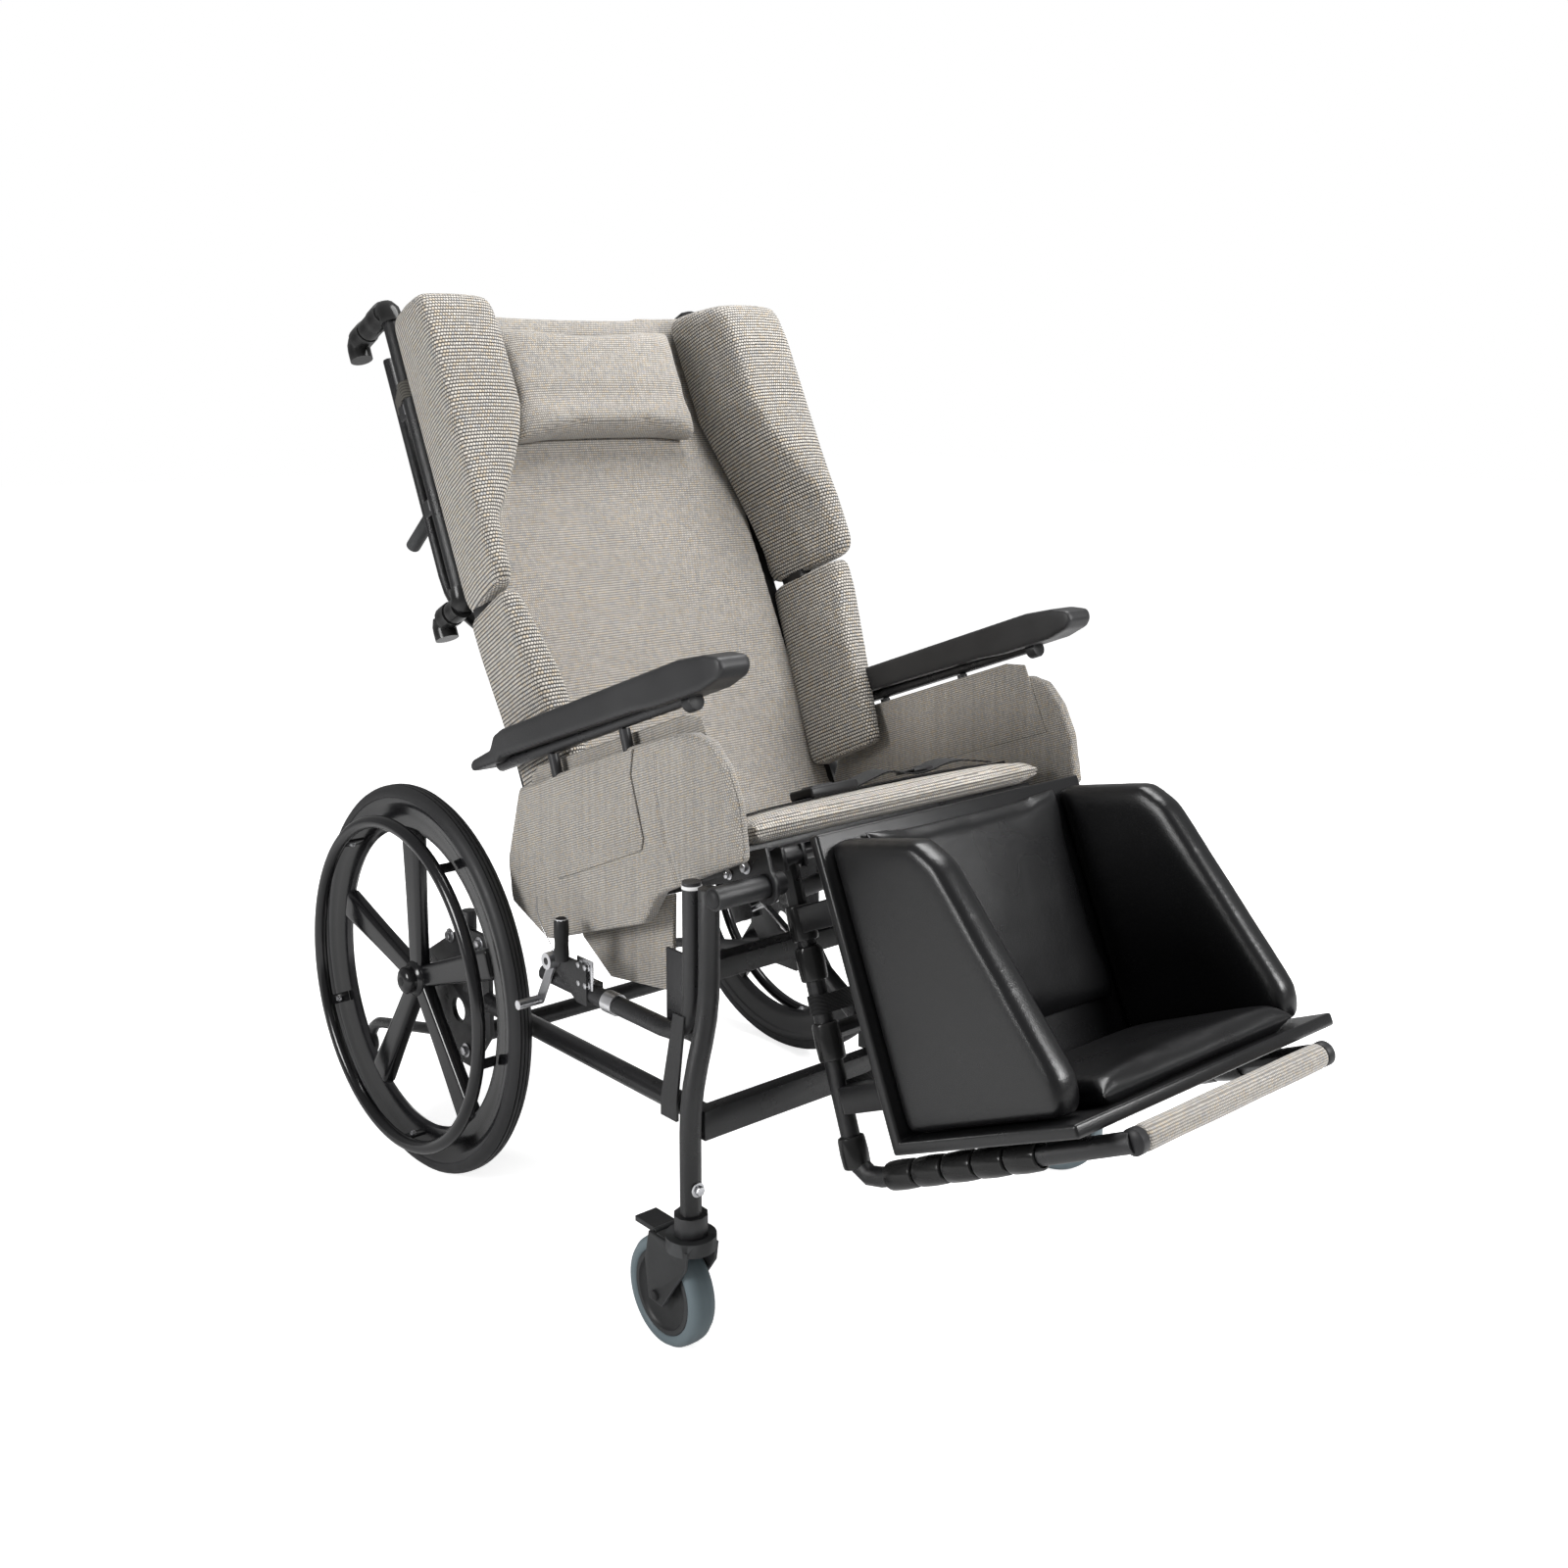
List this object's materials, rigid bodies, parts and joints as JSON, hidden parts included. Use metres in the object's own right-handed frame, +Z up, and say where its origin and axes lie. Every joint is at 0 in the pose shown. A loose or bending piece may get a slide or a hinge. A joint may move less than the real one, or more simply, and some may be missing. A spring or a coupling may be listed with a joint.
{
  "type": "tilt in space wheelchair",
  "caption": "Tilt-in-space care wheelchair with a reclining wing back, headrest pillow, side bolsters, height-adjustable arms, padded foot box on a raising leg rest, mag wheels and casters.",
  "frame": {"origin": "on the floor, under the centre of the chair's own extents", "axes": "+X to the user's left, +Y to the rear, +Z up"},
  "size_m": [0.8662, 1.5638, 1.3706],
  "materials": {
    "paint": "black textured powder coat",
    "zinc": "zinc plated",
    "steel": "polished rod",
    "rim_plastic": "deep gloss moulding",
    "tyre": "grey rubber, grooved tread",
    "caster_plastic": "charcoal moulding",
    "caster_rubber": "blue-grey rubber",
    "pad_plastic": "soft matte moulding",
    "fabric": "grey-beige tweed weave",
    "vinyl": "smooth black vinyl",
    "webbing": "woven strap"
  },
  "bodies": {
    "base": {"front_cross_tube": "paint", "rear_cross_tube": "paint", "upper_cross_bar": "paint", "front_post_right": "paint", "side_tube_right": "paint", "lower_rail_right": "paint", "axle_plate_right": "paint", "anti_tip_right": "paint", "lock_bracket_right": "zinc", "front_post_left": "paint", "side_tube_left": "paint", "lower_rail_left": "paint", "axle_plate_left": "paint", "anti_tip_left": "paint", "lock_bracket_left": "zinc"},
    "rear_wheel_right": {"tyre_right": "tyre", "mag_wheel_right": "rim_plastic", "handrim_right": "rim_plastic"},
    "caster_swivel_right": {"caster_fork_right": "caster_plastic"},
    "caster_roller_right": {"caster_wheel_right": "caster_rubber"},
    "caster_brake_right": {"caster_pedal_right": "caster_plastic"},
    "wheel_lock_right": {"lock_lever_right": "paint"},
    "rear_wheel_left": {"tyre_left": "tyre", "mag_wheel_left": "rim_plastic", "handrim_left": "rim_plastic"},
    "caster_swivel_left": {"caster_fork_left": "caster_plastic"},
    "caster_roller_left": {"caster_wheel_left": "caster_rubber"},
    "caster_brake_left": {"caster_pedal_left": "caster_plastic"},
    "wheel_lock_left": {"lock_lever_left": "paint"},
    "seat": {"seat_frame": "paint", "seat_cushion": "fabric", "lap_belt": "webbing", "side_panel_right": "fabric", "side_panel_left": "fabric", "side_skirt_right": "fabric", "side_skirt_left": "fabric"},
    "arm_right": {"arm_tube_right": "paint", "arm_pad_right": "pad_plastic"},
    "arm_left": {"arm_tube_left": "paint", "arm_pad_left": "pad_plastic"},
    "back": {"back_frame": "paint", "back_cushion": "fabric", "headrest_pillow": "fabric", "back_tube_right": "paint", "back_tube_left": "paint", "wing_right": "fabric", "wing_left": "fabric", "bolster_right": "fabric", "bolster_left": "fabric"},
    "leg_rest": {"leg_frame": "paint", "foot_box_base": "vinyl", "calf_pad": "vinyl", "foot_pad": "vinyl", "foot_box_side_right": "vinyl", "foot_box_side_left": "vinyl"},
    "tilt_cylinder": {"tilt_strut_cylinder": "paint"},
    "tilt_rod": {"tilt_strut_rod": "steel"},
    "recline_cylinder": {"recline_strut_cylinder": "paint"},
    "recline_rod": {"recline_strut_rod": "steel"}
  },
  "joints": [
    {"name": "wheel_spin_right", "type": "hinge", "parent": "base", "child": "rear_wheel_right", "pos_m": [-0.3775, 0.46216, 0.305], "axis": [1, 0, 0], "continuous": true},
    {"name": "caster_swivel_right", "type": "hinge", "parent": "base", "child": "caster_swivel_right", "pos_m": [-0.3888, -0.24344, 0.2], "axis": [0, 0, 1], "continuous": true},
    {"name": "caster_spin_right", "type": "hinge", "parent": "caster_swivel_right", "child": "caster_roller_right", "pos_m": [-0.3888, -0.20244, 0.0718], "axis": [1, 0, 0], "continuous": true},
    {"name": "caster_brake_right", "type": "hinge", "parent": "caster_swivel_right", "child": "caster_brake_right", "pos_m": [-0.3888, -0.19243, 0.151], "axis": [-1, 0, 0], "range_deg": [0, 6]},
    {"name": "wheel_lock_right", "type": "hinge", "parent": "base", "child": "wheel_lock_right", "pos_m": [-0.37, 0.09016, 0.43], "axis": [1, 0, 0], "range_deg": [0, 20]},
    {"name": "arm_height_right", "type": "slide", "parent": "seat", "child": "arm_right", "axis": [0, 0.342, 0.9397], "range_m": [0, 0.04]},
    {"name": "wheel_spin_left", "type": "hinge", "parent": "base", "child": "rear_wheel_left", "pos_m": [0.3775, 0.46216, 0.305], "axis": [1, 0, 0], "continuous": true},
    {"name": "caster_swivel_left", "type": "hinge", "parent": "base", "child": "caster_swivel_left", "pos_m": [0.3888, -0.24344, 0.2], "axis": [0, 0, 1], "continuous": true},
    {"name": "caster_spin_left", "type": "hinge", "parent": "caster_swivel_left", "child": "caster_roller_left", "pos_m": [0.36647, -0.20905, 0.0718], "axis": [0.8387, 0.5446, 0], "continuous": true},
    {"name": "caster_brake_left", "type": "hinge", "parent": "caster_swivel_left", "child": "caster_brake_left", "pos_m": [0.36102, -0.20066, 0.151], "axis": [-0.8387, -0.5446, 0], "range_deg": [0, 6]},
    {"name": "wheel_lock_left", "type": "hinge", "parent": "base", "child": "wheel_lock_left", "pos_m": [0.37, 0.09016, 0.43], "axis": [1, 0, 0], "range_deg": [0, 20]},
    {"name": "arm_height_left", "type": "slide", "parent": "seat", "child": "arm_left", "axis": [0, 0.342, 0.9397], "range_m": [0, 0.04]},
    {"name": "tilt", "type": "hinge", "parent": "base", "child": "seat", "pos_m": [0, -0.27283, 0.602], "axis": [-1, 0, 0], "range_deg": [-15, 15]},
    {"name": "recline", "type": "hinge", "parent": "seat", "child": "back", "pos_m": [0, 0.21616, 0.47191], "axis": [-1, 0, 0], "range_deg": [-5.6, 34.4]},
    {"name": "leg_raise", "type": "hinge", "parent": "seat", "child": "leg_rest", "pos_m": [0, -0.23695, 0.61874], "axis": [-1, 0, 0], "range_deg": [0, 65]},
    {"name": "tilt_strut_turn", "type": "hinge", "parent": "base", "child": "tilt_cylinder", "pos_m": [-0.06, -0.22784, 0.342], "axis": [-1, 0, 0], "range_deg": [-11.5, 11.5]},
    {"name": "tilt_strut_slide", "type": "slide", "parent": "tilt_cylinder", "child": "tilt_rod", "axis": [0, 0.8723, 0.489], "range_m": [-0.068, 0.068]},
    {"name": "recline_strut_turn", "type": "hinge", "parent": "seat", "child": "recline_cylinder", "pos_m": [0.06, -0.05893, 0.51138], "axis": [-1, 0, 0], "range_deg": [-1, 1]},
    {"name": "recline_strut_slide", "type": "slide", "parent": "recline_cylinder", "child": "recline_rod", "axis": [0, 0.8914, -0.4532], "range_m": [-0.056, 0.011]}
  ],
  "couplings": [
    {"joint": "tilt_strut_turn", "follows": "tilt", "ratio": 0.71},
    {"joint": "tilt_strut_slide", "follows": "tilt", "m_per_rad": -0.25},
    {"joint": "recline_strut_turn", "follows": "recline", "ratio": 0.01},
    {"joint": "recline_strut_slide", "follows": "recline", "m_per_rad": -0.09}
  ]
}
